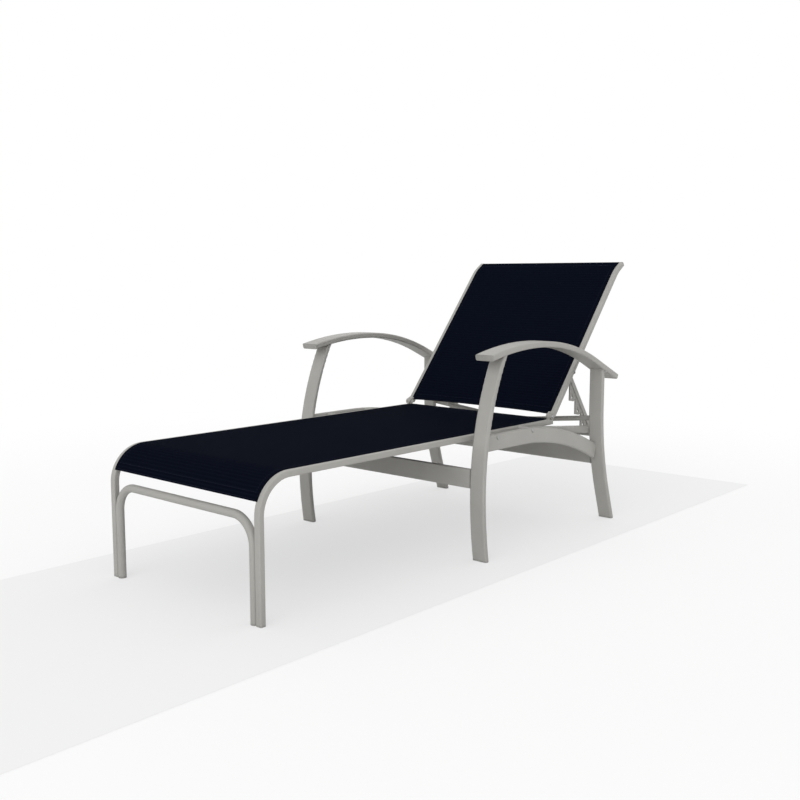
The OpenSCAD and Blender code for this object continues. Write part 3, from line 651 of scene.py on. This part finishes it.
def floor_finish(name, shade, far_glow):
    """A pale floor that keeps the lounge's shadow. For the camera it also glows a little, by the same
    share near the lounge and by far_glow far away, where the white floor runs out into the backdrop."""
    made, nodes, links = new_material(name)
    shader = shader_of(nodes)
    coords = nodes.new("ShaderNodeTexCoord").outputs["Object"]
    tone = noise(nodes, links, coords, 1.2, 2.0)
    links.new(ramp(nodes, links, tone, [(0.2, (shade - 0.004,) * 3), (0.8, (shade + 0.004,) * 3)]),
              shader.inputs["Base Color"])
    shader.inputs["Roughness"].default_value = 0.9
    shader.inputs["Specular IOR Level"].default_value = 0.0
    distance = nodes.new("ShaderNodeVectorMath")
    distance.operation = "LENGTH"
    links.new(coords, distance.inputs[0])
    spread = nodes.new("ShaderNodeMapRange")
    spread.interpolation_type = "SMOOTHSTEP"
    spread.inputs["From Min"].default_value = FLOOR_FADE[0]
    spread.inputs["From Max"].default_value = FLOOR_FADE[1]
    spread.inputs["To Min"].default_value = FLOOR_GLOW
    spread.inputs["To Max"].default_value = far_glow
    links.new(distance.outputs["Value"], spread.inputs["Value"])
    path = nodes.new("ShaderNodeLightPath")
    share = maths(nodes, links, "MULTIPLY", path.outputs["Is Camera Ray"], spread.outputs["Result"])
    light = nodes.new("ShaderNodeEmission")
    light.inputs["Color"].default_value = (min(1.0, shade * 1.075),) * 3 + (1.0,)
    blend = nodes.new("ShaderNodeMixShader")
    links.new(share, blend.inputs["Fac"])
    links.new(shader.outputs["BSDF"], blend.inputs[1])
    links.new(light.outputs["Emission"], blend.inputs[2])
    links.new(blend.outputs["Shader"], nodes["Material Output"].inputs["Surface"])
    return made


def ground(name, finish, low, high, sink):
    made = bmesh.new()
    bmesh.ops.create_grid(made, x_segments=1, y_segments=1, size=0.5)
    bmesh.ops.scale(made, vec=(high[0] - low[0], high[1] - low[1], 1.0), verts=made.verts)
    bmesh.ops.translate(made, vec=((low[0] + high[0]) / 2, (low[1] + high[1]) / 2, -sink), verts=made.verts)
    piece(name, made, finish, smooth=False)


# A white floor with the pale grey strip on which the lounge stands
ground("studio_floor", floor_finish("white_floor", 0.94, 1.0), (-14.0, -14.0), (14.0, 14.0), 0.0010)
ground("floor_strip", floor_finish("pale_strip", 0.865, FLOOR_GLOW), (-0.508, -4.0), (0.513, 1.510), 0.0003)

world = bpy.data.worlds.new("studio_light")
bpy.context.scene.world = world
world.use_nodes = True
nodes, links = world.node_tree.nodes, world.node_tree.links
sky = nodes["Background"]
sky.inputs["Color"].default_value = (1.0, 1.0, 1.0, 1.0)
sky.inputs["Strength"].default_value = 0.74
backdrop = nodes.new("ShaderNodeBackground")
backdrop.inputs["Color"].default_value = (1.0, 1.0, 1.0, 1.0)
backdrop.inputs["Strength"].default_value = 1.0
seen = nodes.new("ShaderNodeLightPath")
choose = nodes.new("ShaderNodeMixShader")
either = maths(nodes, links, "MAXIMUM", seen.outputs["Is Camera Ray"], seen.outputs["Is Glossy Ray"])
any_ray = maths(nodes, links, "MAXIMUM", either, seen.outputs["Is Transmission Ray"])
links.new(any_ray, choose.inputs["Fac"])
links.new(sky.outputs["Background"], choose.inputs[1])
links.new(backdrop.outputs["Background"], choose.inputs[2])
links.new(choose.outputs["Shader"], nodes["World Output"].inputs["Surface"])


def lamp(name, strength, angle, turn):
    data = bpy.data.lights.new(name, "SUN")
    data.energy = strength
    data.angle = math.radians(angle)
    made = bpy.data.objects.new(name, data)
    made.rotation_euler = [math.radians(v) for v in turn]
    bpy.context.scene.collection.objects.link(made)


lamp("key_light", 0.25, 50.0, (38.0, 0.0, 20.0))
lamp("fill_light", 0.15, 80.0, (50.0, 0.0, 110.0))
lamp("low_light", 1.10, 60.0, (77.0, 0.0, 24.0))
lamp("rear_light", 0.35, 80.0, (68.0, 0.0, 215.0))

camera_data = bpy.data.cameras.new("view")
camera_data.lens = 44.407
camera_data.sensor_width = 36.0
camera = bpy.data.objects.new("view", camera_data)
camera.location = (2.02932, -2.28185, 0.81344)
camera.rotation_euler = (math.radians(90.0 - 7.05), 0.0, math.radians(41.58))
bpy.context.scene.collection.objects.link(camera)
bpy.context.scene.camera = camera
bpy.context.scene.view_settings.view_transform = "Standard"
